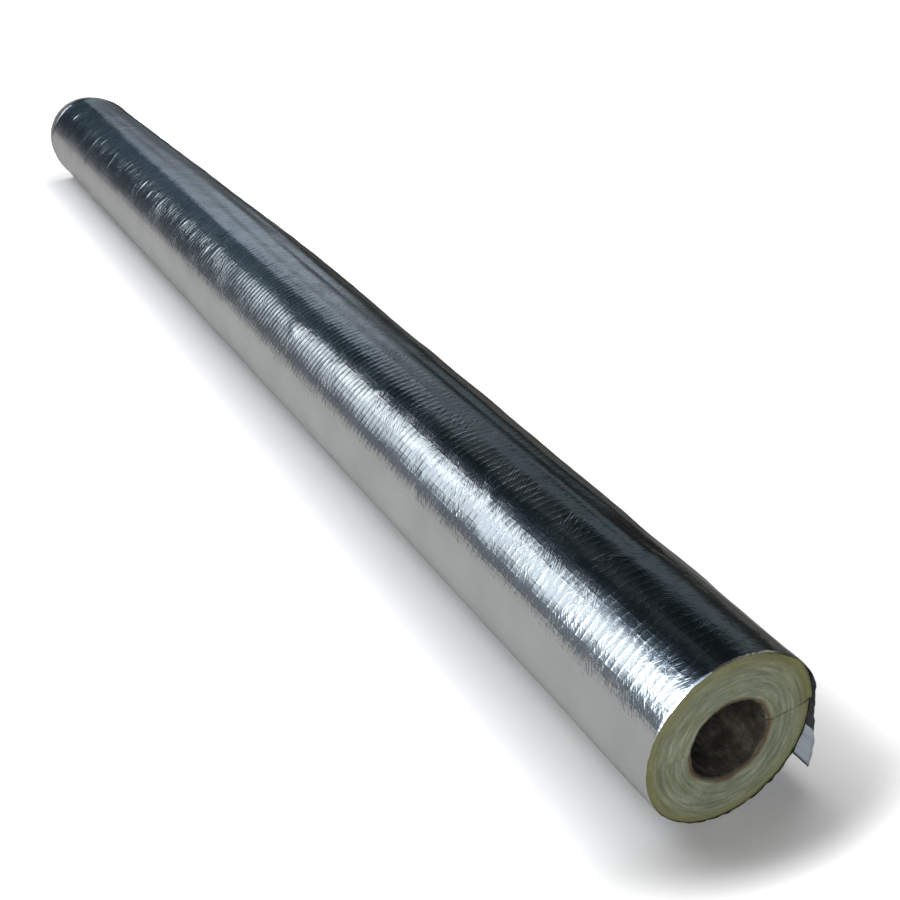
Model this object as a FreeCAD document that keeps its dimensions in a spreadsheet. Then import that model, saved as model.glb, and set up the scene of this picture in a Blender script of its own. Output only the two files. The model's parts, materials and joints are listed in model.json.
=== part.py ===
import FreeCAD, Part
import math
import os

import Sketcher

# One 1.2 m length of pre-formed mineral wool pipe insulation with a foil facing.
# The wool is a thick tube, cut open along one side so that it snaps over a pipe.
# The reinforced foil is glued round the wool from the slit's lower lip, over the
# bottom, the back and the top, then stands off the wool and hangs past the slit
# as a loose sealing lap. A release liner covers the adhesive inside that lap.
#
# Frame: X along the tube, Z up, origin on the bore axis at mid-length. The slit
# and the lap are on the +Y side. Angles are measured from +Y towards +Z.

DIMENSIONS = [
    # name, value in mm or degrees, meaning
    ("section_length", 1200, "length of the tube, its foil and its liner"),
    ("bore_diameter", 42, "pipe diameter that the section is made for"),
    ("wall", 25, "thickness of the wool"),
    ("slit_angle", 8, "where the slit opens, above the horizontal"),
    ("slit_gap", 0.8, "width of the saw cut"),
    ("foil_thickness", 0.1, "foil, scrim and backing together"),
    ("lift_angle", 60, "where the foil leaves the wool"),
    ("lift_slack", 19.5, "radius of the loose foil, beyond the wool's"),
    ("lift_turn", 28, "bend of the loose foil above the slit"),
    ("fold_radius", 14, "bend where the lap turns down past the slit"),
    ("fold_turn", 24, "angle of that bend"),
    ("lap_run", 35, "straight part of the lap"),
    ("curl_radius", 30, "inward curl of the lap's free edge"),
    ("curl_turn", 28, "angle of that curl"),
    ("liner_width", 22, "release liner, measured from the lap's free edge"),
    ("liner_thickness", 0.15, "siliconised paper"),
]

WOOL_RADIUS = "(sizes.bore_diameter / 2 + sizes.wall)"
LOOSE_RADIUS = f"({WOOL_RADIUS} + sizes.lift_slack)"
LIP_ANGLE = f"(sizes.slit_angle * 1 deg - asin(sizes.slit_gap / 2 / {WOOL_RADIUS}))"
CURL_LENGTH = "(sizes.curl_radius * sizes.curl_turn * pi / 180)"

# Sketcher's names for the points of a line or an arc.
START, END, CENTRE = 1, 2, 3
ORIGIN = (-1, 1)

doc = FreeCAD.newDocument("pipe_insulation")


def fill_sheet():
    """Write the driving dimensions into a spreadsheet and name their cells."""
    sheet = doc.addObject("Spreadsheet::Sheet", "sizes")
    for row, (name, value, meaning) in enumerate(DIMENSIONS, start=1):
        sheet.set(f"A{row}", name)
        sheet.set(f"B{row}", str(value))
        sheet.setAlias(f"B{row}", name)
        sheet.set(f"C{row}", meaning)
    doc.recompute()
    return sheet


def new_body(name):
    body = doc.addObject("PartDesign::Body", name)
    body.Label = name
    body.Placement = FreeCAD.Placement()
    return body


def section_sketch(body, name):
    """A sketch across the tube, on the body's own YZ plane."""
    plane = next(item for item in body.Origin.OriginFeatures if item.Role == "YZ_Plane")
    sketch = body.newObject("Sketcher::SketchObject", name)
    sketch.AttachmentSupport = (plane, [""])
    sketch.MapMode = "FlatFace"
    return sketch


def pad_along_tube(body, sketch, name):
    pad = body.newObject("PartDesign::Pad", name)
    pad.Profile = sketch
    pad.SideType = "Symmetric"
    pad.setExpression("Length", "sizes.section_length")
    sketch.Visibility = False
    return pad


def bind(sketch, name, kind, where, value, expression):
    """Add a dimension to a sketch and tie it to the sheet."""
    index = sketch.addConstraint(Sketcher.Constraint(kind, *where, value))
    sketch.renameConstraint(index, name)
    sketch.setExpression(f"Constraints.{name}", expression)


def tie(sketch, kind, *where):
    sketch.addConstraint(Sketcher.Constraint(kind, *where))


def toward(degrees):
    """Unit vector in the section, at an angle from +Y towards +Z."""
    turn = math.radians(degrees)
    return FreeCAD.Vector(math.cos(turn), math.sin(turn), 0)


def add_arc(sketch, centre, radius, low, high, construction=False):
    circle = Part.Circle(centre, FreeCAD.Vector(0, 0, 1), radius)
    arc = Part.ArcOfCircle(circle, math.radians(low), math.radians(high))
    return sketch.addGeometry(arc, construction)


def add_line(sketch, first, last, construction=False):
    return sketch.addGeometry(Part.LineSegment(first, last), construction)


def foil_places(sheet):
    """Centres, radii and angles of the foil's inner face, from the wrap to the free edge."""
    wool_radius = sheet.bore_diameter / 2 + sheet.wall
    loose_radius = wool_radius + sheet.lift_slack
    lip = sheet.slit_angle - math.degrees(math.asin(sheet.slit_gap / 2 / wool_radius))
    lift_end = sheet.lift_angle - sheet.lift_turn
    fold_end = lift_end - sheet.fold_turn
    curl_end = fold_end - sheet.curl_turn
    lift_centre = toward(sheet.lift_angle) * (wool_radius - loose_radius)
    fold_centre = lift_centre + toward(lift_end) * (loose_radius - sheet.fold_radius)
    run_start = fold_centre + toward(fold_end) * sheet.fold_radius
    run_end = run_start + toward(fold_end - 90) * sheet.lap_run
    curl_centre = run_end - toward(fold_end) * sheet.curl_radius
    return {
        "wrap": (FreeCAD.Vector(), wool_radius, sheet.lift_angle, lip + 360),
        "lift": (lift_centre, loose_radius, lift_end, sheet.lift_angle),
        "fold": (fold_centre, sheet.fold_radius, fold_end, lift_end),
        "run": (run_start, run_end),
        "curl": (curl_centre, sheet.curl_radius, curl_end, fold_end),
        "run_normal": toward(fold_end),
    }


def draw_foil_line(sketch, places, construction):
    """The foil's inner face: wrap, loose rise, fold, straight run and curled edge."""
    wrap = add_arc(sketch, *places["wrap"], construction)
    lift = add_arc(sketch, *places["lift"], construction)
    fold = add_arc(sketch, *places["fold"], construction)
    run = add_line(sketch, *places["run"], construction)
    curl = add_arc(sketch, *places["curl"], construction)
    centre, radius, low, high = places["wrap"]
    lift_spoke = add_line(sketch, centre, toward(low) * radius, True)
    lip_spoke = add_line(sketch, centre, toward(high) * radius, True)

    tie(sketch, "Coincident", wrap, CENTRE, *ORIGIN)
    for spoke, point in ((lift_spoke, START), (lip_spoke, END)):
        tie(sketch, "Coincident", spoke, START, *ORIGIN)
        tie(sketch, "Coincident", spoke, END, wrap, point)
    tie(sketch, "Tangent", lift, END, wrap, START)
    tie(sketch, "Tangent", fold, END, lift, START)
    tie(sketch, "Tangent", run, START, fold, START)
    tie(sketch, "Tangent", curl, END, run, END)

    bind(sketch, "wool_radius", "Radius", (wrap,), radius, WOOL_RADIUS)
    bind(sketch, "lift_angle", "Angle", (lift_spoke,), math.radians(low), "sizes.lift_angle")
    bind(sketch, "lip_angle", "Angle", (lip_spoke,), math.radians(high - 360), LIP_ANGLE)
    bind(sketch, "loose_radius", "Radius", (lift,), places["lift"][1], LOOSE_RADIUS)
    bind(sketch, "lap_run", "Distance", (run,), (places["run"][1] - places["run"][0]).Length,
         "sizes.lap_run")
    for name, arc in (("fold", fold), ("curl", curl)):
        bind(sketch, f"{name}_radius", "Radius", (arc,), places[name][1], f"sizes.{name}_radius")
    for name, arc in (("lift", lift), ("fold", fold), ("curl", curl)):
        span = math.radians(places[name][3] - places[name][2])
        bind(sketch, f"{name}_turn", "Angle", (arc,), span, f"sizes.{name}_turn")
    return wrap, lift, fold, run, curl


def make_wool(sheet):
    """The wool tube, with a saw cut from the bore out through one side."""
    body = new_body("wool_section")
    bore_radius = sheet.bore_diameter / 2
    ring = section_sketch(body, "wool_ring")
    for name, radius, expression in (
        ("bore_radius", bore_radius, "sizes.bore_diameter / 2"),
        ("outer_radius", bore_radius + sheet.wall, WOOL_RADIUS),
    ):
        circle = ring.addGeometry(Part.Circle(FreeCAD.Vector(), FreeCAD.Vector(0, 0, 1), radius))
        tie(ring, "Coincident", circle, CENTRE, *ORIGIN)
        bind(ring, name, "Radius", (circle,), radius, expression)
    pad_along_tube(body, ring, "wool_tube")
    doc.recompute()

    # The cut is a thin rectangle about a spoke, from the bore axis to past the wool.
    cut = section_sketch(body, "slit_outline")
    half_gap = sheet.slit_gap / 2
    reach = bore_radius + 2 * sheet.wall
    out = toward(sheet.slit_angle)
    up = toward(sheet.slit_angle + 90)
    corners = [up * -half_gap, out * reach - up * half_gap, out * reach + up * half_gap, up * half_gap]
    sides = [add_line(cut, corners[i], corners[(i + 1) % 4]) for i in range(4)]
    for i in range(4):
        tie(cut, "Coincident", sides[i], END, sides[(i + 1) % 4], START)
    lower, outer, upper, inner = sides
    spoke = add_line(cut, FreeCAD.Vector(), out * reach, True)
    tie(cut, "Coincident", spoke, START, *ORIGIN)
    tie(cut, "Symmetric", inner, START, inner, END, spoke, START)
    tie(cut, "Symmetric", outer, START, outer, END, spoke, END)
    tie(cut, "Perpendicular", inner, spoke)
    tie(cut, "Parallel", lower, spoke)
    bind(cut, "slit_angle", "Angle", (spoke,), math.radians(sheet.slit_angle), "sizes.slit_angle")
    bind(cut, "slit_reach", "Distance", (spoke,), reach, "sizes.bore_diameter / 2 + 2 * sizes.wall")
    bind(cut, "slit_gap", "Distance", (inner,), sheet.slit_gap, "sizes.slit_gap")
    slit = body.newObject("PartDesign::Pocket", "slit")
    slit.Profile = cut
    slit.Type = "ThroughAll"
    slit.SideType = "Symmetric"
    cut.Visibility = False
    return body


def make_foil(sheet):
    """The foil facing, one sheet: glued wrap, loose rise and hanging lap."""
    body = new_body("foil_jacket")
    sketch = section_sketch(body, "foil_outline")
    places = foil_places(sheet)
    inner = draw_foil_line(sketch, places, False)
    wrap_in, lift_in, fold_in, run_in, curl_in = inner

    thick = sheet.foil_thickness
    skin = {}
    for name in ("wrap", "lift", "fold", "curl"):
        centre, radius, low, high = places[name]
        skin[name] = add_arc(sketch, centre, radius + thick, low, high)
    step = places["run_normal"] * thick
    run_out = add_line(sketch, places["run"][0] + step, places["run"][1] + step)
    for name, arc in (("wrap", wrap_in), ("lift", lift_in), ("fold", fold_in), ("curl", curl_in)):
        tie(sketch, "Coincident", skin[name], CENTRE, arc, CENTRE)
    tie(sketch, "Tangent", skin["lift"], END, skin["wrap"], START)
    tie(sketch, "Tangent", skin["fold"], END, skin["lift"], START)
    tie(sketch, "Tangent", run_out, START, skin["fold"], START)
    tie(sketch, "Tangent", skin["curl"], END, run_out, END)
    tie(sketch, "Parallel", run_out, run_in)
    bind(sketch, "outer_radius", "Radius", (skin["wrap"],), places["wrap"][1] + thick,
         f"{WOOL_RADIUS} + sizes.foil_thickness")

    # The two cut edges, square across the sheet.
    for name, arc, point in (("wrap", wrap_in, END), ("curl", curl_in, START)):
        centre, radius, low, high = places[name]
        across = toward(high if point == END else low)
        edge = add_line(sketch, centre + across * radius, centre + across * (radius + thick))
        tie(sketch, "Coincident", edge, START, arc, point)
        tie(sketch, "Coincident", edge, END, skin[name], point)
        tie(sketch, "PointOnObject", arc, CENTRE, edge)
    pad_along_tube(body, sketch, "foil_sheet")
    return body


def make_liner(sheet):
    """The release liner: a strip on the lap's inner face, up to its free edge."""
    body = new_body("release_liner")
    sketch = section_sketch(body, "liner_outline")
    places = foil_places(sheet)
    _, _, _, run, curl = draw_foil_line(sketch, places, True)

    thick = sheet.liner_thickness
    flat = sheet.liner_width - sheet.curl_radius * math.radians(sheet.curl_turn)
    run_start, run_end = places["run"]
    top = run_end + (run_start - run_end).normalize() * flat
    step = places["run_normal"] * -thick
    centre, radius, low, high = places["curl"]
    face_line = add_line(sketch, top, run_end)
    back_line = add_line(sketch, top + step, run_end + step)
    face_arc = add_arc(sketch, centre, radius, low, high)
    back_arc = add_arc(sketch, centre, radius - thick, low, high)
    top_edge = add_line(sketch, top, top + step)
    low_edge = add_line(sketch, centre + toward(low) * radius, centre + toward(low) * (radius - thick))

    tie(sketch, "Coincident", face_line, END, run, END)
    tie(sketch, "PointOnObject", face_line, START, run)
    tie(sketch, "Tangent", face_arc, END, face_line, END)
    tie(sketch, "Coincident", face_arc, START, curl, START)
    tie(sketch, "Coincident", back_arc, CENTRE, curl, CENTRE)
    tie(sketch, "Tangent", back_arc, END, back_line, END)
    tie(sketch, "Coincident", top_edge, START, face_line, START)
    tie(sketch, "Coincident", top_edge, END, back_line, START)
    tie(sketch, "Perpendicular", top_edge, face_line)
    tie(sketch, "Parallel", back_line, face_line)
    tie(sketch, "Coincident", low_edge, START, face_arc, START)
    tie(sketch, "Coincident", low_edge, END, back_arc, START)
    tie(sketch, "PointOnObject", curl, CENTRE, low_edge)
    bind(sketch, "liner_flat", "Distance", (face_line,), flat, f"sizes.liner_width - {CURL_LENGTH}")
    bind(sketch, "liner_thickness", "Distance", (top_edge,), thick, "sizes.liner_thickness")
    pad_along_tube(body, sketch, "liner_strip")
    return body


def check(parts):
    """Stop if any object failed, or if a piece isn't one valid solid."""
    for item in doc.Objects:
        bad = {"Invalid", "Error"} & set(item.State)
        if bad:
            raise RuntimeError(f"{item.Name} is {', '.join(sorted(bad))}")
    for part in parts:
        shape = part.Shape
        if shape.isNull() or not shape.isValid() or len(shape.Solids) != 1:
            raise RuntimeError(f"{part.Label} isn't one valid solid")
        print(f"{part.Label}: {shape.Volume:.0f} mm3, {shape.BoundBox}")


def write(parts):
    os.makedirs("parts", exist_ok=True)
    for part in parts:
        part.Shape.exportStep(os.path.join("parts", f"{part.Label}.step"))


sizes = fill_sheet()
pieces = [make_wool(sizes), make_foil(sizes), make_liner(sizes)]
doc.recompute()
check(pieces)
write(pieces)
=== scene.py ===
import json
import math

import bpy
import numpy as np
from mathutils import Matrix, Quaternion, Vector, noise


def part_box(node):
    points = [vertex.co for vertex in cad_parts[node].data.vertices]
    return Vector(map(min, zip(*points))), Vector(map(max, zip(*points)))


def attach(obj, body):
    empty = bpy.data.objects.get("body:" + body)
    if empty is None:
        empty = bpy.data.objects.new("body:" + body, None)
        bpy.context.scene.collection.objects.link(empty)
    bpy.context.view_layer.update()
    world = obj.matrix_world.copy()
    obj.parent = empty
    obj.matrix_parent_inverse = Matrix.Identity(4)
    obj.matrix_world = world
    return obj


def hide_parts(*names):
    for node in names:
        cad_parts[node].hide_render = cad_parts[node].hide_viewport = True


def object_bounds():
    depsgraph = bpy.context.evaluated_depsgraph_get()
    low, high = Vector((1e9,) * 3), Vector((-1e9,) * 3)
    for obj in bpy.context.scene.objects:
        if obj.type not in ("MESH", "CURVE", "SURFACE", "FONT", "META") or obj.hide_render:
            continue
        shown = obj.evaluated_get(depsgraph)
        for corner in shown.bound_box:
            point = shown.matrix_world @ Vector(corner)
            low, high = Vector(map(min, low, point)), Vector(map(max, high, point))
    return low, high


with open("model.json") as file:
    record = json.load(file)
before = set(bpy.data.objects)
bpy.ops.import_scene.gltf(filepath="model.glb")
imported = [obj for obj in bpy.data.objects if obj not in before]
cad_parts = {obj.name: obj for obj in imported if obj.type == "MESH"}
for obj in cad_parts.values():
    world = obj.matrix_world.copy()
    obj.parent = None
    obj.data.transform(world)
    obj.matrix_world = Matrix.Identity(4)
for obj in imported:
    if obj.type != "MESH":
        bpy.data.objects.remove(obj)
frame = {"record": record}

# A foil-faced mineral wool pipe section, lying on a pale floor. The wool, the
# foil and the release liner are modelled meshes that stand for their CAD nodes.
# Metres throughout. Section angles run from +Y towards +Z, as seen from +X.

CAD_BOX = [list(corner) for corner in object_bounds()]
FLOOR_Z = CAD_BOX[0][2]
WOOL_LOW, WOOL_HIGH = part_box("wool_section")
HALF_LENGTH = WOOL_HIGH[0]
WOOL_R = WOOL_HIGH[2]
BORE_R = frame["record"]["mounts"][0]["dims"]["r_mm"] / 1000
MM = 0.001

# The section's own dimensions, as in the CAD source.
SLIT_ANGLE = 8.0
SLIT_GAP = 0.8 * MM
FOIL = 0.1 * MM
LIFT_ANGLE = 60.0
LIFT_SLACK = 19.5 * MM
LIFT_TURN = 28.0
FOLD_R = 14 * MM
FOLD_TURN = 24.0
LAP_RUN = 35 * MM
CURL_R = 30 * MM
CURL_TURN = 28.0
LINER_WIDTH = 22 * MM
LINER_THICK = 0.15 * MM

SCRIM = 5.08 * MM          # spacing of the reinforcing threads, both ways


# ---------------------------------------------------------------- small helpers

def smooth(low, high, value):
    t = np.clip((value - low) / (high - low), 0, 1)
    return t * t * (3 - 2 * t)


def fractal(points, scale, octaves=3):
    """Fractal noise in about -1..1 at an array of 3-D points."""
    flat = points.reshape(-1, 3) * scale
    values = [noise.fractal(Vector(p), 1.0, 2.0, octaves) for p in flat]
    return np.array(values).reshape(points.shape[:-1])


def grid_faces(rows, columns, offset=0):
    """Quads of a rows x columns grid of points, as an index array."""
    index = np.arange(rows * columns).reshape(rows, columns) + offset
    corners = (index[:-1, :-1], index[1:, :-1], index[1:, 1:], index[:-1, 1:])
    return np.stack(corners, axis=-1).reshape(-1, 4)


def make_object(name, points, faces, material):
    mesh = bpy.data.meshes.new(name)
    mesh.from_pydata(points.reshape(-1, 3).tolist(), [], [list(map(int, f)) for f in faces])
    mesh.shade_smooth()
    mesh.materials.append(material)
    piece = bpy.data.objects.new(name, mesh)
    bpy.context.scene.collection.objects.link(piece)
    return piece


def add_uv(piece, u, v):
    """A UV map in metres from two per-point arrays."""
    layer = piece.data.uv_layers.new(name="flat")
    corner_points = np.empty(len(piece.data.loops), dtype=np.int32)
    piece.data.loops.foreach_get("vertex_index", corner_points)
    pairs = np.stack([u.ravel()[corner_points], v.ravel()[corner_points]], axis=-1)
    layer.data.foreach_set("uv", pairs.astype(np.float32).ravel())


# ---------------------------------------------------------------- node materials

def new_material(name):
    material = bpy.data.materials.new(name)
    material.use_nodes = True
    tree = material.node_tree
    return material, tree, tree.nodes["Principled BSDF"]


def node(tree, kind, inputs=None, **settings):
    item = tree.nodes.new(kind)
    for key, value in settings.items():
        setattr(item, key, value)
    for key, value in (inputs or {}).items():
        if isinstance(value, bpy.types.NodeSocket):
            tree.links.new(value, item.inputs[key])
        else:
            item.inputs[key].default_value = value
    return item


def math_node(tree, operation, first, second=0.0, third=0.0):
    inputs = {0: first, 1: second, 2: third}
    return node(tree, "ShaderNodeMath", inputs, operation=operation).outputs[0]


def ramp(tree, factor, stops):
    item = node(tree, "ShaderNodeValToRGB", {"Fac": factor})
    elements = item.color_ramp.elements
    while len(elements) < len(stops):
        elements.new(0.5)
    for element, (place, colour) in zip(elements, stops):
        element.position = place
        element.color = (*colour, 1)
    return item.outputs["Color"]


def noise_value(tree, vector, scale, detail=3.0, rough=0.5):
    inputs = {"Vector": vector, "Scale": scale, "Detail": detail, "Roughness": rough}
    return node(tree, "ShaderNodeTexNoise", inputs).outputs["Fac"]


def map_range(tree, value, start, stop, low=0.0, high=1.0):
    """A value of start gives low, one of stop gives high, and it is held past both."""
    inputs = {"Value": value, "From Min": start, "From Max": stop, "To Min": low, "To Max": high}
    return node(tree, "ShaderNodeMapRange", inputs).outputs[0]


def mix_colour(tree, factor, first, second, blend="MIX"):
    inputs = {"Factor": factor, 6: first, 7: second}
    return node(tree, "ShaderNodeMix", inputs, data_type="RGBA", blend_type=blend).outputs[2]


def dimmed(tree, colour, factor):
    inputs = {0: colour, "Scale": factor}
    return node(tree, "ShaderNodeVectorMath", inputs, operation="SCALE").outputs[0]


def mapping(tree, vector, **changes):
    """A vector after a Location, Rotation or Scale."""
    return node(tree, "ShaderNodeMapping", {"Vector": vector, **changes}).outputs[0]


def object_place(tree):
    return node(tree, "ShaderNodeTexCoord").outputs["Object"]


def split_vector(tree, vector):
    outputs = node(tree, "ShaderNodeSeparateXYZ", {0: vector}).outputs
    return outputs["X"], outputs["Y"], outputs["Z"]


def add_bump(tree, shader, height, strength, distance):
    inputs = {"Height": height, "Strength": strength, "Distance": distance}
    bump = node(tree, "ShaderNodeBump", inputs)
    tree.links.new(bump.outputs[0], shader.inputs["Normal"])


def show_glow(tree, shader, colour, strength):
    """Puts a plain glow in the place of the material's shader."""
    tree.nodes.remove(shader)
    glow = node(tree, "ShaderNodeEmission", {"Color": colour, "Strength": strength})
    tree.links.new(glow.outputs[0], tree.nodes["Material Output"].inputs["Surface"])
    return glow


def seeing_rays(tree):
    """1 for camera, glossy and transmission rays, 0 for the rays that light things."""
    path = node(tree, "ShaderNodeLightPath").outputs
    seen = math_node(tree, "ADD", path["Is Camera Ray"], path["Is Glossy Ray"])
    return math_node(tree, "ADD", seen, path["Is Transmission Ray"])


def greys(*stops):
    """Ramp stops of plain grey, from pairs of place and level."""
    return [(place, (level, level, level)) for place, level in stops]


# ---------------------------------------------------------------- the foil's material

def thread_ridges(tree, coordinate, wander, sharp):
    """Narrow ridges one scrim spacing apart along a coordinate."""
    shifted = math_node(tree, "MULTIPLY_ADD", wander, 0.5 * MM, coordinate)
    turns = math_node(tree, "MULTIPLY", shifted, 2 * math.pi / SCRIM)
    wave = math_node(tree, "MULTIPLY_ADD", math_node(tree, "COSINE", turns), 0.5, 0.5)
    return math_node(tree, "POWER", wave, sharp)


def foil_threads(tree, where, around, along, creases):
    """Crossing threads that show in patches, more those round the tube, less by the slit."""
    wander = noise_value(tree, where, 60, 2)
    show = map_range(tree, creases, 0.4, 0.62)
    lengthwise = thread_ridges(tree, around, wander, 6)
    crosswise = thread_ridges(tree, along, wander, 5)
    faint = math_node(tree, "MULTIPLY_ADD", show, 0.40, 0.05)
    clear = math_node(tree, "MULTIPLY_ADD", show, 0.5, 0.25)
    threads = math_node(tree, "MULTIPLY", lengthwise, faint)
    threads = math_node(tree, "MULTIPLY_ADD", crosswise, clear, threads)
    calm = map_range(tree, around, distance_at(106), distance_at(84), 1.0, 0.3)
    return math_node(tree, "MULTIPLY", threads, calm)


def add_slanting_wrinkles(tree, flat, height):
    """Sharp wrinkles in two sets that lean opposite ways, each in patches of its own."""
    for turn, seed, strength in ((0.62, 3.0, 1.7), (-0.45, 9.0, 1.0)):
        leaning = mapping(tree, flat, Location=(seed, seed, 0), Rotation=(0, 0, turn))
        veins = noise_value(tree, mapping(tree, leaning, Scale=(55, 330, 1)), 1.0, 2, 0.5)
        ridge = math_node(tree, "ABSOLUTE", math_node(tree, "SUBTRACT", veins, 0.5))
        ridge = math_node(tree, "MULTIPLY", math_node(tree, "MINIMUM", ridge, 0.09), -strength * 4)
        mask = map_range(tree, noise_value(tree, leaning, 34, 2), 0.44, 0.62)
        height = math_node(tree, "MULTIPLY_ADD", ridge, mask, height)
    return height


def foil_material():
    """Bright rolled foil over a square scrim, finely crinkled, scuffed dull at its far edge."""
    material, tree, shader = new_material("foil")
    where = object_place(tree)
    flat = node(tree, "ShaderNodeUVMap", uv_map="flat").outputs["UV"]
    around, along, _ = split_vector(tree, flat)
    crinkle = noise_value(tree, where, 330, 4, 0.62)
    creases = noise_value(tree, where, 120, 3, 0.5)
    patches = noise_value(tree, where, 25, 3)

    threads = foil_threads(tree, where, around, along, creases)
    height = math_node(tree, "MULTIPLY_ADD", crinkle, 0.9, threads)
    height = math_node(tree, "MULTIPLY_ADD", creases, 1.6, height)
    add_bump(tree, shader, add_slanting_wrinkles(tree, flat, height), 0.6, 0.16 * MM)

    uneven = math_node(tree, "MULTIPLY_ADD", crinkle, 5 * MM, along)
    worn = map_range(tree, uneven, 21 * MM - HALF_LENGTH, 11 * MM - HALF_LENGTH)
    rough = math_node(tree, "MULTIPLY_ADD", patches, 0.12, 0.10)
    rough = math_node(tree, "MULTIPLY_ADD", worn, 0.32, rough)
    metal = math_node(tree, "MULTIPLY_ADD", worn, -0.35, 1.0)
    bright = ramp(tree, patches, [(0.3, (0.76, 0.77, 0.78)), (0.7, (0.86, 0.87, 0.88))])
    colour = mix_colour(tree, worn, bright, (0.40, 0.385, 0.37, 1))
    tree.links.new(rough, shader.inputs["Roughness"])
    tree.links.new(metal, shader.inputs["Metallic"])
    tree.links.new(colour, shader.inputs["Base Color"])
    return material


def lap_inside_material():
    """The foil's inner face: a dull plastic coat over the metal, tinted grey."""
    material, tree, shader = new_material("lap_inside")
    grain = noise_value(tree, object_place(tree), 300, 3)
    colour = ramp(tree, grain, [(0.3, (0.14, 0.15, 0.17)), (0.7, (0.24, 0.26, 0.28))])
    tree.links.new(colour, shader.inputs["Base Color"])
    add_bump(tree, shader, grain, 0.3, 0.1 * MM)
    shader.inputs["Metallic"].default_value = 0.7
    shader.inputs["Roughness"].default_value = 0.38
    return material


# ---------------------------------------------------------------- the wool's material

def wound_noise(tree, polar, scales, detail):
    """Noise in radius, turn and length, so that it reads as wound round the bore."""
    scaled = [math_node(tree, "MULTIPLY", value, scale) for value, scale in zip(polar, scales)]
    place = node(tree, "ShaderNodeCombineXYZ", dict(enumerate(scaled))).outputs[0]
    return noise_value(tree, place, 1.0, detail, 0.6)


def wool_body(tree, tone, blotch):
    """Green grey layers, a little dirtier in blotches."""
    body = ramp(tree, tone, [(0.30, (0.115, 0.125, 0.075)), (0.48, (0.185, 0.200, 0.140)),
                             (0.60, (0.260, 0.278, 0.212)), (0.76, (0.37, 0.39, 0.31))])
    dirt = ramp(tree, blotch, [(0.35, (0.80, 0.82, 0.78)), (0.65, (1.0, 1.0, 0.96))])
    return mix_colour(tree, 1.0, body, dirt, "MULTIPLY")


def wool_bore(tree, where, fibres, along):
    """The bore's dark wall, in clumps, with painted shade that darkens it further in from each end.
    """
    clumps = noise_value(tree, mapping(tree, where, Scale=(120, 130, 130)), 1.0, 4, 0.6)
    fine = math_node(tree, "MULTIPLY", fibres, 0.25)
    mottle = math_node(tree, "MULTIPLY_ADD", clumps, 0.75, fine)
    bore_wall_dark = ramp(tree, mottle, [(0.36, (0.024, 0.023, 0.018)), (0.50, (0.058, 0.055, 0.043)),
                               (0.66, (0.135, 0.130, 0.108))])
    # Painted shade: the bore wall's colour falls to 0.12 of itself between 6 mm and 50 mm in from
    # either end.
    from_middle = math_node(tree, "ABSOLUTE", along)
    depth = map_range(tree, from_middle, HALF_LENGTH - 50 * MM, HALF_LENGTH - 6 * MM, 0.12)
    return dimmed(tree, bore_wall_dark, depth)


def wool_material():
    """Wound wool: yellower at its outer edge, burnt brown at the bore's edge, dark inside with
    painted shade deeper in.
    """
    material, tree, shader = new_material("wool")
    where = object_place(tree)
    along, side, up = split_vector(tree, where)
    square = math_node(tree, "MULTIPLY_ADD", up, up, math_node(tree, "MULTIPLY", side, side))
    radius = math_node(tree, "SQRT", square)
    polar = (radius, math_node(tree, "ARCTAN2", up, side), along)
    layers = wound_noise(tree, polar, (560, 2.2, 12), 4)
    fibres = wound_noise(tree, polar, (3200, 42, 900), 3)
    blotch = noise_value(tree, where, 55, 3)
    broad = math_node(tree, "MULTIPLY", layers, 0.65)
    tone = math_node(tree, "MULTIPLY_ADD", fibres, 0.35, broad)

    wavy = math_node(tree, "MULTIPLY_ADD", blotch, 3 * MM, radius)
    outer = map_range(tree, wavy, WOOL_R - 7 * MM, WOOL_R + 1.5 * MM, 0.0, 0.8)
    inner = map_range(tree, wavy, BORE_R + 4.4 * MM, BORE_R + 2.7 * MM)
    hollow = map_range(tree, radius, BORE_R + 1.2 * MM, BORE_R + 0.5 * MM)
    burnt = ramp(tree, fibres, [(0.3, (0.050, 0.030, 0.016)), (0.7, (0.150, 0.095, 0.055))])
    colour = mix_colour(tree, outer, wool_body(tree, tone, blotch), (0.150, 0.145, 0.050, 1))
    colour = mix_colour(tree, inner, colour, burnt)
    # The bore takes its dark wall colour, with the painted shade deeper in.
    colour = mix_colour(tree, hollow, colour, wool_bore(tree, where, fibres, along))
    tree.links.new(colour, shader.inputs["Base Color"])
    add_bump(tree, shader, tone, 0.9, 0.8 * MM)
    shader.inputs["Roughness"].default_value = 0.95
    shader.inputs["Specular IOR Level"].default_value = 0.2
    return material


# ---------------------------------------------------------------- the liner's material

def liner_material():
    """Siliconised paper: pale blue grey, satin, with faint streaks along it."""
    material, tree, shader = new_material("liner")
    stretched = mapping(tree, object_place(tree), Scale=(12, 240, 240))
    streaks = noise_value(tree, stretched, 1.0, 3)
    colour = ramp(tree, streaks, [(0.3, (0.46, 0.52, 0.60)), (0.7, (0.62, 0.68, 0.75))])
    tree.links.new(colour, shader.inputs["Base Color"])
    add_bump(tree, shader, streaks, 0.2, 0.1 * MM)
    shader.inputs["Roughness"].default_value = 0.35
    return material


# ---------------------------------------------------------------- the foil's section

def unit(degrees):
    turn = math.radians(degrees)
    return np.array([math.cos(turn), math.sin(turn)])


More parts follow.
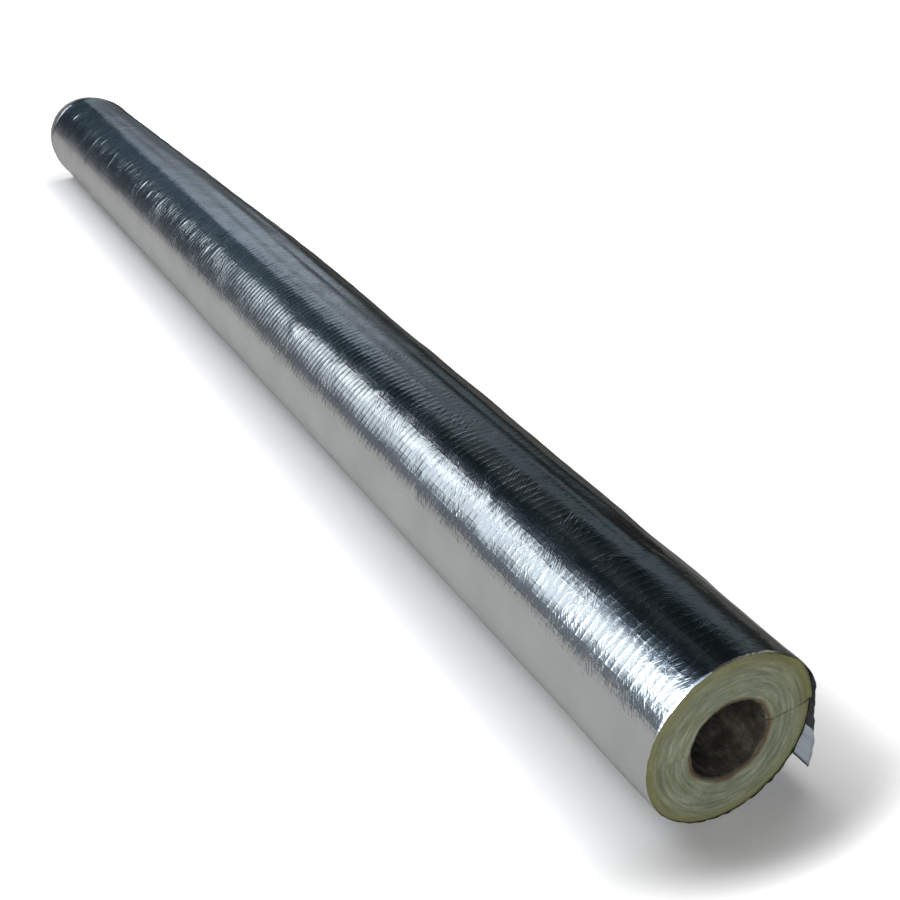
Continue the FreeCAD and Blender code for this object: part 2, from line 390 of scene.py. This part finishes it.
SKIN_R = WOOL_R + FOIL
LIP = SLIT_ANGLE - math.degrees(math.asin(SLIT_GAP / 2 / WOOL_R))
LOOSE_R = SKIN_R + LIFT_SLACK
LIFT_END = LIFT_ANGLE - LIFT_TURN
FOLD_END = LIFT_END - FOLD_TURN
LIFT_CENTRE = unit(LIFT_ANGLE) * (SKIN_R - LOOSE_R)
FOLD_CENTRE = LIFT_CENTRE + unit(LIFT_END) * (LOOSE_R - FOLD_R - FOIL)
RUN_START = FOLD_CENTRE + unit(FOLD_END) * (FOLD_R + FOIL)
RUN_END = RUN_START + unit(FOLD_END - 90) * LAP_RUN
CURL_CENTRE = RUN_END - unit(FOLD_END) * (CURL_R + FOIL)

WRAP_LENGTH = SKIN_R * math.radians(LIP + 360 - LIFT_ANGLE)
STRETCHES = [
    (WRAP_LENGTH, np.zeros(2), SKIN_R, LIP),
    (LOOSE_R * math.radians(LIFT_TURN), LIFT_CENTRE, LOOSE_R, LIFT_ANGLE),
    ((FOLD_R + FOIL) * math.radians(FOLD_TURN), FOLD_CENTRE, FOLD_R + FOIL, LIFT_END),
    (LAP_RUN, RUN_START, None, FOLD_END),
    ((CURL_R + FOIL) * math.radians(CURL_TURN), CURL_CENTRE, CURL_R + FOIL, FOLD_END),
]
FOIL_LENGTH = sum(stretch[0] for stretch in STRETCHES)
LAP_START = FOIL_LENGTH - STRETCHES[4][0] - LAP_RUN - STRETCHES[2][0]


def foil_line(distance):
    """Place and outward direction on the foil, a distance from the slit's lower lip."""
    for number, (length, centre, radius, angle) in enumerate(STRETCHES):
        if distance <= length or number == len(STRETCHES) - 1:
            break
        distance -= length
    if radius is None:
        return centre + unit(angle - 90) * distance, angle
    angle -= math.degrees(distance / radius)
    return centre + unit(angle) * radius, angle


def distance_at(angle):
    """Distance along the wrap of a section angle, from the lip down and round."""
    return SKIN_R * math.radians((LIP - angle) % 360)


BOW_CENTRE = distance_at(44.6)
BOW_WRAP_SIDE = 34 * MM
BOW_LAP_SIDE = 40 * MM
BOW_PEAK = 8.9 * MM
BOW_PEAK_X = -0.02
BOW_SLOPE = 12.4 * MM
BOW_ROUND = 0.06


def bow(around, along):
    """How far the loose foil bows off the wool: a rounded tent along the tube."""
    reach = np.sqrt((along - BOW_PEAK_X) ** 2 + BOW_ROUND ** 2) - BOW_ROUND
    height = np.clip(BOW_PEAK - BOW_SLOPE * reach - 0.6 * MM, 0, None)
    offset = around - BOW_CENTRE
    width = np.where(offset < 0, BOW_WRAP_SIDE, BOW_LAP_SIDE)
    bell = np.cos(np.clip(offset / width, -1, 1) * math.pi / 2) ** 2
    return height * bell


# Creases that stand out of the foil: section angle in degrees, place along the tube in
# metres, half sizes round and along it in mm, turn in degrees and height in mm.
MARKS = [
    (128, 0.14, 3.0, 9.0, 20, 0.45),
    (118, 0.27, 3.0, 8.0, -35, 0.4),
    (124, -0.12, 7.0, 1.8, 10, 0.45),
    (131, -0.19, 8.0, 1.8, -12, 0.5),
    (126, -0.25, 6.0, 1.7, 6, 0.5),
    (119, -0.31, 4.0, 1.7, 20, 0.5),
    (124, -0.36, 6.0, 1.8, -25, 0.55),
    (129, -0.40, 4.0, 1.7, 10, 0.5),
    (121, -0.535, 5.0, 2.2, 8, 0.9),
    (122, 0.42, 3.0, 6.0, 50, 0.35),
]
# Many small crosswise creases over the -Y shoulder of the far half, mostly shallow.
for number in range(70):
    spread = [(number * step) % 1 for step in (0.618, 0.414, 0.732, 0.236, 0.871)]
    MARKS.append((112 + 26 * spread[0], -0.57 + 0.55 * spread[1], 2.6 + 3.0 * spread[2],
                  1.4 + 0.9 * spread[3], -30 + 60 * spread[4], 0.16 + 0.34 * spread[2] * spread[3]))
CREASE_X = -0.43             # a crease right round the tube
DEEPEST = -0.32 * MM         # the wool stops a dip here


def lengthwise_folds(around, along):
    """Soft folds in the loose foil, which run along the tube and drift a little."""
    offset = around - BOW_CENTRE
    here = np.exp(-((offset + 8 * MM) / (26 * MM)) ** 2) * (1 - smooth(0.42, 0.6, np.abs(along)))
    drift = np.sin(along * 7.0) * 3 * MM + np.sin(along * 17.0 + 1.0) * 1.2 * MM
    wave = np.sin((offset + drift) * 2 * math.pi / (13 * MM))
    fine = np.sin((offset - drift * 0.6) * 2 * math.pi / (8 * MM) + 2.0)
    swell = 0.6 + 0.4 * np.sin(along * 23.0 + 0.5) * np.sin(along * 9.0)
    return here * swell * (wave * 0.7 + fine * 0.32) * MM


def thread_rings(around, along, space, wander):
    """Low ridges round the tube, livelier in patches and calmer towards the slit."""
    phase = 2 * math.pi * (along + wander * 0.7 * MM) / SCRIM
    ring = np.cos(phase) * 0.5 + np.cos(2 * phase) * 0.14
    lively = np.clip(0.5 + fractal(space * [0.8, 1, 1] + 11.0, 30, 2), 0.1, 1.3)
    calm = 1 - 0.75 * smooth(distance_at(104), distance_at(84), around)
    return ring * (0.018 + 0.060 * lively) * calm * MM


def marks_height(around, along):
    """The listed creases, each a rounded ridge."""
    height = np.zeros(around.shape)
    for angle, place, half_round, half_along, turn, tall in MARKS:
        u = (around - distance_at(angle)) / MM
        v = (along - place) / MM
        c, s = math.cos(math.radians(turn)), math.sin(math.radians(turn))
        across, down = u * c + v * s, v * c - u * s
        height += tall * MM * np.exp(-(across / half_round) ** 2 - (down / half_along) ** 2)
    return height


def foil_height(around, along, space):
    """Height of the foil's surface over its plain section."""
    wander = fractal(space, 22, 2)
    slow = fractal(space + 3.1, 9, 3)
    coarse = fractal(space * [0.55, 1, 1] + 7.7, 48, 3)
    sharp = 1 - np.abs(fractal(space * [0.8, 1, 1] + 1.3, 34, 2)) * 2.2
    loose = smooth(distance_at(70), distance_at(50), around)

    height = thread_rings(around, along, space, wander)
    height += coarse * (0.17 + 0.22 * loose) * MM
    height += np.clip(sharp, 0, 1) ** 4 * smooth(-0.2, 0.5, slow) * 0.22 * MM
    height += slow * 0.25 * MM
    height += marks_height(around, along)
    bend = (along - CREASE_X - np.sin(around / SKIN_R) * 1.5 * MM) / (1.6 * MM)
    height += 0.5 * MM * np.exp(-bend ** 2) * np.clip(0.4 + wander, 0.1, 1)
    backed = smooth(HALF_LENGTH - 16 * MM, HALF_LENGTH - 6 * MM, np.abs(along))
    height = np.maximum(height, DEEPEST * (1 - backed))
    return height + bow(around, along) + lengthwise_folds(around, along)


NEAR_SETBACK = 0.3 * MM      # the wool's cut face stands this far past the foil
FAR_SETBACK = 1.0 * MM
FAR_ROUND = 18 * MM          # the far end's edge is rounded over this length
FAR_RIDGE = 21 * MM          # a low ridge runs round the tube this far from the far end
LINER_SETBACK = 1.2 * MM     # the liner stops this far short of the lap's free edge

# Rows of points along the tube, and columns round it.
FOIL_ROWS = 1000
WRAP_COLUMNS = 96
LAP_COLUMNS = 22
LINER_ROWS = 600
LINER_COLUMNS = 12


def end_round(along):
    """How far the section shrinks towards its far end, as a rounded edge."""
    into = np.clip((FAR_ROUND - (along + HALF_LENGTH)) / FAR_ROUND, 0, 1)
    return (1 - np.sqrt(1 - into ** 2 * 0.9)) * 3.2 * MM


def row_places(rows):
    """Places of the foil's rows along the tube, closer together at the near end."""
    last = HALF_LENGTH - NEAR_SETBACK
    along = np.linspace(-HALF_LENGTH + FAR_SETBACK, last - 2 * MM, rows - 4)
    return np.append(along, last - np.array([1.4, 0.9, 0.4, 0.0]) * MM)


def along_tube(along, centres):
    """Points over the section's centres, at places along the tube."""
    across = [np.broadcast_to(centres[:, axis], along.shape) for axis in (0, 1)]
    return np.stack([along, *across], axis=-1)


def foil_surface(distances, rows):
    """Points of the foil's outer face, with their outward directions and flat places."""
    line = [foil_line(d) for d in distances]
    centres = np.array([place for place, _ in line])
    angles = np.radians([angle for _, angle in line])
    around, along = np.meshgrid(np.array(distances), row_places(rows))

    # The cut ends are uneven: each end row runs in and out a little.
    edge = np.stack([around * 0, np.cos(around / SKIN_R), np.sin(around / SKIN_R)], axis=-1)
    ragged = fractal(edge + 5, 14, 5) * 0.8 * MM
    near_end = smooth(HALF_LENGTH - 5 * MM, HALF_LENGTH, along)
    far_end = smooth(-HALF_LENGTH + 16 * MM, -HALF_LENGTH, along)
    height = foil_height(around, along, along_tube(along, centres))
    tuck = smooth(HALF_LENGTH - 1.6 * MM, HALF_LENGTH - NEAR_SETBACK, along)
    height += near_end ** 2 * np.maximum(ragged, 0) * 0.5 - tuck * 0.4 * MM
    from_ridge = (along + HALF_LENGTH - FAR_RIDGE - ragged * 2) / (2.2 * MM)
    height += np.exp(-from_ridge ** 2) * 0.9 * MM
    height -= end_round(along)
    along = along + near_end * np.minimum(ragged, 0.3 * MM) + far_end * ragged

    out = np.stack([np.zeros(len(angles)), np.cos(angles), np.sin(angles)], axis=-1)
    out = np.broadcast_to(out, (*along.shape, 3))
    return along_tube(along, centres) + out * height[..., None], out, around, along


def sheet_faces(rows, columns):
    """Faces of a closed thin sheet: its outer grid, its inner grid, then its four edges."""
    count = rows * columns
    index = np.arange(count).reshape(rows, columns)
    faces = [grid_faces(rows, columns), grid_faces(rows, columns, count)[:, ::-1]]
    for edge in (index[0], index[:, -1], index[-1][::-1], index[:, 0][::-1]):
        first, second = edge[:-1], edge[1:]
        faces.append(np.stack([first, second, second + count, first + count], axis=-1))
    return np.concatenate(faces)


def make_wrap(material):
    """The foil from the slit's lip round to the lap's fold, one skin over the wool."""
    distances = np.linspace(0, LAP_START + 1 * MM, WRAP_COLUMNS)
    points, _, around, along = foil_surface(distances, FOIL_ROWS)
    piece = make_object("foil_wrap", points, grid_faces(FOIL_ROWS, WRAP_COLUMNS), material)
    add_uv(piece, around, along)
    return piece


def make_lap(material, inside):
    """The loose lap: a closed thin sheet, foil outside and its dull face inside."""
    distances = np.linspace(LAP_START, FOIL_LENGTH, LAP_COLUMNS)
    outer, out, around, along = foil_surface(distances, FOIL_ROWS)
    points = np.concatenate([outer, outer - out * FOIL])
    piece = make_object("foil_lap", points, sheet_faces(FOIL_ROWS, LAP_COLUMNS), material)
    piece.data.materials.append(inside)
    one_side = (FOIL_ROWS - 1) * (LAP_COLUMNS - 1)
    slots = np.zeros(len(piece.data.polygons), dtype=np.int32)
    slots[one_side:2 * one_side] = 1
    piece.data.polygons.foreach_set("material_index", slots)
    add_uv(piece, np.concatenate([around, around]), np.concatenate([along, along]))
    return piece


def make_liner(material):
    """The release liner on the lap's inner face, up to the free edge."""
    distances = np.linspace(FOIL_LENGTH - LINER_WIDTH, FOIL_LENGTH - LINER_SETBACK, LINER_COLUMNS)
    skin, out, _, _ = foil_surface(distances, LINER_ROWS)
    outer = skin - out * (FOIL + 0.05 * MM)
    points = np.concatenate([outer, outer - out * LINER_THICK])
    return make_object("liner_strip", points, sheet_faces(LINER_ROWS, LINER_COLUMNS), material)


# ---------------------------------------------------------------- the wool

WOOL_OUT = WOOL_R - 0.5 * MM      # the wool's outside lies just under the foil
TURNS, LAYERS, STEPS = 300, 40, 44


def sprung(degrees, x):
    """How far the upper lip has sprung out, towards the lifted foil, at the near end."""
    under_foil = min(max(LIFT_ANGLE - degrees, 0), 19)
    room = WOOL_R * (1 / math.cos(math.radians(under_foil)) - 1) * 0.9
    ease = 1 - 0.35 * float(smooth(36, SLIT_ANGLE, degrees))
    return room * ease * float(smooth(0.25, HALF_LENGTH, x))


def cut_face_wear(radius, angle, face):
    """How far a cut face lies behind its plane: wound layers, fibres and worn edges."""
    y, z = math.cos(angle), math.sin(angle)
    wound = noise.noise(Vector((radius * 420 + angle * 0.35, y * 2.5, z * 2.5 + face)))
    rough = noise.fractal(Vector((y * radius, z * radius, face)) * 260, 0.8, 2.0, 3)
    edge = smooth(WOOL_OUT - 3 * MM, WOOL_OUT, radius) + smooth(BORE_R + 2 * MM, BORE_R, radius)
    return ((0.5 - wound) * 0.5 + rough * 0.3 + edge * 0.8) * MM


def wool_point(i, j, k):
    """The wool's point at a step round the tube, through its wall and along it."""
    radius = BORE_R + (WOOL_OUT - BORE_R) * j / LAYERS
    half_cut = math.asin(SLIT_GAP / 2 / radius)
    angle = math.radians(SLIT_ANGLE) + half_cut + (2 * math.pi - 2 * half_cut) * i / TURNS
    x = HALF_LENGTH * math.sin((2 * k / STEPS - 1) * math.pi / 2)
    y, z = math.cos(angle), math.sin(angle)
    depth = j / LAYERS
    radius += depth ** 2 * (sprung(math.degrees(angle), x) - float(end_round(x)))
    if k != STEPS:
        swell = float(smooth(HALF_LENGTH - 14 * MM, HALF_LENGTH - 4 * MM, x))
        radius += depth * 0.25 * MM * swell
    if k in (0, STEPS):
        x -= math.copysign(1, x) * cut_face_wear(radius, angle, k)
    if j in (0, LAYERS):
        rough = noise.fractal(Vector((x * 0.35, y * radius, z * radius)) * 330, 0.8, 2.0, 3)
        radius += rough * 0.35 * MM * (1 if j == 0 else 0.5)
    return x, y * radius, z * radius


def make_wool(material):
    """The slit tube as one closed grid: its two cut faces, bore, outside and slit's sides."""
    points, number, faces = [], {}, []

    def add_quad(corners, flip):
        for corner in corners:
            if corner not in number:
                number[corner] = len(points)
                points.append(wool_point(*corner))
        quad = [number[corner] for corner in corners]
        faces.append(quad[::-1] if flip else quad)

    for k in (0, STEPS):
        for i in range(TURNS):
            for j in range(LAYERS):
                add_quad([(i, j, k), (i, j + 1, k), (i + 1, j + 1, k), (i + 1, j, k)], k == 0)
    for j in (0, LAYERS):
        for i in range(TURNS):
            for k in range(STEPS):
                add_quad([(i, j, k), (i, j, k + 1), (i + 1, j, k + 1), (i + 1, j, k)], j != 0)
    for i in (0, TURNS):
        for j in range(LAYERS):
            for k in range(STEPS):
                add_quad([(i, j, k), (i, j + 1, k), (i, j + 1, k + 1), (i, j, k + 1)], i != 0)
    return make_object("wool_tube", np.array(points), faces, material)


# ---------------------------------------------------------------- stage and light

def stage_material(name):
    """A dull paint that shows no highlight."""
    material, tree, shader = new_material(name)
    shader.inputs["Roughness"].default_value = 1.0
    shader.inputs["Specular IOR Level"].default_value = 0.0
    return material, tree, shader


def seen_by_metal_only(obj):
    obj.visible_camera = False
    obj.visible_diffuse = False
    obj.visible_transmission = False
    obj.visible_volume_scatter = False
    obj.visible_shadow = False


def make_card(name, centre, right, up, material):
    """A flat rectangle about a centre, from two half-size vectors."""
    centre, right, up = (np.array(v, dtype=float) for v in (centre, right, up))
    low, high = centre - up, centre + up
    corners = np.array([low - right, low + right, high + right, high - right])
    card = make_object(name, corners, [(0, 1, 2, 3)], material)
    return card


def window_material():
    """The softbox that the foil mirrors: bright in its middle, fading out at its sides."""
    material, tree, shader = new_material("window_light")
    where = node(tree, "ShaderNodeTexCoord").outputs["Generated"]
    right, _, up = split_vector(tree, where)
    along = ramp(tree, right, greys(
        (0.00, 0.0), (0.24, 0.09), (0.43, 0.11), (0.54, 0.10), (0.60, 0.16), (0.66, 0.85),
        (0.92, 1.0), (1.0, 0.0)))
    across = ramp(tree, up, [
        (0.00, (0.0, 0.0, 0.0)), (0.13, (0.10, 0.13, 0.16)), (0.27, (0.86, 0.94, 1.0)),
        (0.44, (0.82, 0.92, 1.0)), (0.58, (0.13, 0.17, 0.21)), (0.72, (0.030, 0.040, 0.052)),
        (0.86, (0.008, 0.011, 0.014)), (1.0, (0.0, 0.0, 0.0))])
    shade = mix_colour(tree, 1.0, along, across, "MULTIPLY")
    glow = show_glow(tree, shader, shade, 7.8)
    clear = node(tree, "ShaderNodeBsdfTransparent")
    solid = node(tree, "ShaderNodeAddShader", {0: glow.outputs[0], 1: clear.outputs[0]})
    tree.links.new(solid.outputs[0], tree.nodes["Material Output"].inputs["Surface"])
    return material


def room_ahead(tree, east, north, up):
    """Painted reflection seen along the tube towards -X: a glowing grey-blue wall a little to +Y,
    dark beyond it.
    """
    ahead = math_node(tree, "MAXIMUM", math_node(tree, "MULTIPLY", east, -1.0), 0.05)
    slant = math_node(tree, "DIVIDE", north, ahead)
    slant = math_node(tree, "MULTIPLY_ADD", slant, 0.5, 0.5)
    wall = ramp(tree, slant, [
        (0.00, (0.034, 0.052, 0.070)), (0.520, (0.028, 0.045, 0.060)), (0.566, (0.024, 0.038, 0.050)),
        (0.585, (0.26, 0.31, 0.37)), (0.655, (0.275, 0.32, 0.365)), (0.700, (0.24, 0.27, 0.295)),
        (0.77, (0.090, 0.102, 0.105)), (0.90, (0.036, 0.042, 0.041))])
    fade = ramp(tree, up, greys(
        (0.00, 0.40), (0.20, 0.38), (0.26, 0.68), (0.33, 1.0), (0.42, 1.0), (0.52, 0.25),
        (0.62, 0.085), (1.0, 0.07)))
    ceiling = ramp(tree, up, [
        (0.00, (0.0, 0.0, 0.0)), (0.27, (0.0, 0.0, 0.0)), (0.38, (0.036, 0.054, 0.068)),
        (0.50, (0.026, 0.038, 0.045)), (0.62, (0.001, 0.004, 0.004)), (1.0, (0.001, 0.002, 0.002))])
    wall = mix_colour(tree, 1.0, wall, fade, "MULTIPLY")
    return node(tree, "ShaderNodeVectorMath", {0: wall, 1: ceiling}, operation="ADD").outputs[0]


def add_haze(tree, north, up, colour):
    """A painted reflection of a paler haze low on the -Y side, between the floor and the softbox."""
    low = map_range(tree, up, 0.26, 0.02)
    near_side = map_range(tree, north, -0.15, -0.55)
    haze = math_node(tree, "MULTIPLY", low, near_side)
    return mix_colour(tree, haze, colour, (0.145, 0.160, 0.175, 1))


def add_spark(tree, way, colour):
    """A small bright glowing spot high on the -Y side, no lamp: a painted glint source that only
    tilted wrinkles catch.
    """
    inputs = {0: way, 1: (-0.77, -0.36, 0.53)}
    aside = node(tree, "ShaderNodeVectorMath", inputs, operation="DISTANCE").outputs["Value"]
    return mix_colour(tree, map_range(tree, aside, 0.17, 0.10), colour, (0.9, 0.96, 1.0, 1))


def add_furniture_reflection(tree, way, east, colour):
    """Behind the near end: pale and dark glowing patches, painted reflections of a room's furniture.
    """
    behind = map_range(tree, east, -0.25, 0.35)
    furniture = ramp(tree, noise_value(tree, way, 1.7, 2), [
        (0.38, (0.16, 0.16, 0.17)), (0.47, (0.42, 0.41, 0.42)), (0.55, (0.80, 0.75, 0.71)),
        (0.64, (0.95, 0.93, 0.92))])
    return mix_colour(tree, behind, colour, furniture)


# The dome's material: glowing colours, no lamp, that paint the foil's reflections.
def room_material():
    material, tree, shader = new_material("room")
    where = object_place(tree)
    way = node(tree, "ShaderNodeVectorMath", {0: where}, operation="NORMALIZE").outputs[0]
    east, north, up = split_vector(tree, way)
    colour = room_ahead(tree, east, north, up)
    colour = add_haze(tree, north, up, colour)
    colour = add_spark(tree, way, colour)
    colour = add_furniture_reflection(tree, way, east, colour)
    level = math_node(tree, "MULTIPLY_ADD", noise_value(tree, way, 3.0, 3), 0.8, 0.6)
    show_glow(tree, shader, colour, level)
    return material


def make_room():
    """A dim glowing dome, no lamp, that only the foil's reflections see; its colours are painted
    reflections of a room.
    """
    rings, slices, radius = 16, 48, 5.0
    high = np.linspace(0, math.pi / 2, rings)[:, None]
    turn = np.linspace(0, 2 * math.pi, slices)[None, :]
    flat = radius * np.cos(high)
    up = radius * np.sin(high) + FLOOR_Z + 0 * turn
    points = np.stack([flat * np.cos(turn), flat * np.sin(turn), up], axis=-1)
    room = make_object("painted_reflection_dome", points, grid_faces(rings, slices), room_material())
    seen_by_metal_only(room)


def floor_material():
    """White paint, whose own glow grows with the distance from the tube, so its shadow stays."""
    material, tree, shader = stage_material("floor")
    east, north, _ = split_vector(tree, object_place(tree))
    beyond = math_node(tree, "SUBTRACT", math_node(tree, "ABSOLUTE", east), HALF_LENGTH)
    beyond = math_node(tree, "MULTIPLY", math_node(tree, "MAXIMUM", beyond, 0.0), 2.3)
    aside = math_node(tree, "SUBTRACT", north, 0.02)
    square = math_node(tree, "MULTIPLY", aside, aside)
    away = math_node(tree, "SQRT", math_node(tree, "MULTIPLY_ADD", beyond, beyond, square))
    inputs = {"Value": away, "From Min": 0.06, "From Max": 0.15}
    glow = node(tree, "ShaderNodeMapRange", inputs, interpolation_type="SMOOTHSTEP").outputs[0]
    strength = math_node(tree, "MULTIPLY", seeing_rays(tree), glow)
    tree.links.new(strength, shader.inputs["Emission Strength"])
    shader.inputs["Emission Color"].default_value = (1, 1, 1, 1)
    shader.inputs["Base Color"].default_value = (0.81, 0.81, 0.81, 1)
    return material


def ground_material():
    """The ground that the foil mirrors: grey on the -Y side, darker on the slit's side."""
    material, tree, shader = stage_material("ground_grey")
    east, north, _ = split_vector(tree, object_place(tree))
    shade = ramp(tree, math_node(tree, "MULTIPLY_ADD", north, 0.5, 0.5), [
        (0.0, (0.41, 0.41, 0.40)), (0.53, (0.41, 0.41, 0.40)), (0.62, (0.06, 0.065, 0.06)),
        (0.80, (0.13, 0.125, 0.115)), (1.0, (0.09, 0.088, 0.08))])
    dim = map_range(tree, east, -1.6, 0.3, 0.60, 1.0)
    tree.links.new(dimmed(tree, shade, dim), shader.inputs["Base Color"])
    return material


def make_stage():
    make_card("floor", (0, 0, FLOOR_Z), (12, 0, 0), (0, 12, 0), floor_material())
    ground_place = (0, 0, FLOOR_Z + 0.2 * MM)
    ground = make_card("ground_card", ground_place, (4.8, 0, 0), (0, 4.8, 0), ground_material())
    seen_by_metal_only(ground)
    make_room()
    window_place = (-0.9, -0.95, 1.25)
    window = make_card("window_card", window_place, (1.9, 0, 0), (0, 0.9, 1.0), window_material())
    seen_by_metal_only(window)


def make_lamp(name, place, target, size, energy, colour):
    data = bpy.data.lights.new(name, "AREA")
    data.size = size
    data.energy = energy
    data.color = colour
    lamp = bpy.data.objects.new(name, data)
    lamp.location = place
    lamp.rotation_euler = (Vector(target) - Vector(place)).to_track_quat("-Z", "Y").to_euler()
    lamp.visible_glossy = False
    bpy.context.scene.collection.objects.link(lamp)


def make_light():
    make_lamp("key", (-0.9, -0.85, 2.0), (0.1, 0, 0), 2.0, 40, (1.0, 1.0, 1.0))
    make_lamp("rim", (-0.9, 0.85, 2.0), (0.1, 0, 0), 2.0, 28, (1.0, 1.0, 1.0))
    make_lamp("fill", (2.2, -0.9, 0.6), (0.5, 0, 0), 1.0, 25, (1.0, 1.0, 1.0))
    world = bpy.data.worlds.new("studio")
    bpy.context.scene.world = world
    world.use_nodes = True
    tree = world.node_tree
    soft = tree.nodes["Background"]
    soft.inputs["Color"].default_value = (0.96, 0.98, 1.0, 1)
    soft.inputs["Strength"].default_value = 0.10
    white = node(tree, "ShaderNodeBackground", {"Color": (1, 1, 1, 1), "Strength": 1.0})
    inputs = {0: seeing_rays(tree), 1: soft.outputs[0], 2: white.outputs[0]}
    mix = node(tree, "ShaderNodeMixShader", inputs)
    tree.links.new(mix.outputs[0], tree.nodes["World Output"].inputs["Surface"])


def make_camera():
    data = bpy.data.cameras.new("camera")
    data.lens = 51.79
    data.sensor_width = 36
    data.clip_start = 0.01
    camera = bpy.data.objects.new("camera", data)
    camera.location = (HALF_LENGTH + 0.3442, -0.3194, 0.3898)
    aim = Vector((-0.7841, 0.4045, -0.4707)).to_track_quat("-Z", "Y")
    lean = Quaternion((0, 0, 1), math.radians(-0.10))
    camera.rotation_euler = (aim @ lean).to_euler()
    bpy.context.scene.collection.objects.link(camera)
    bpy.context.scene.camera = camera


# ---------------------------------------------------------------- the build

bpy.context.scene.view_settings.view_transform = "Standard"
make_camera()
make_light()
make_stage()

foil = foil_material()
pieces = [
    (make_wool(wool_material()), "wool_section", "wool"),
    (make_wrap(foil), "foil_jacket", "foil"),
    (make_lap(foil, lap_inside_material()), "foil_jacket", "foil"),
    (make_liner(liner_material()), "release_liner", "liner"),
]
for piece, cad_node, slot in pieces:
    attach(piece, "root")
    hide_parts(cad_node)
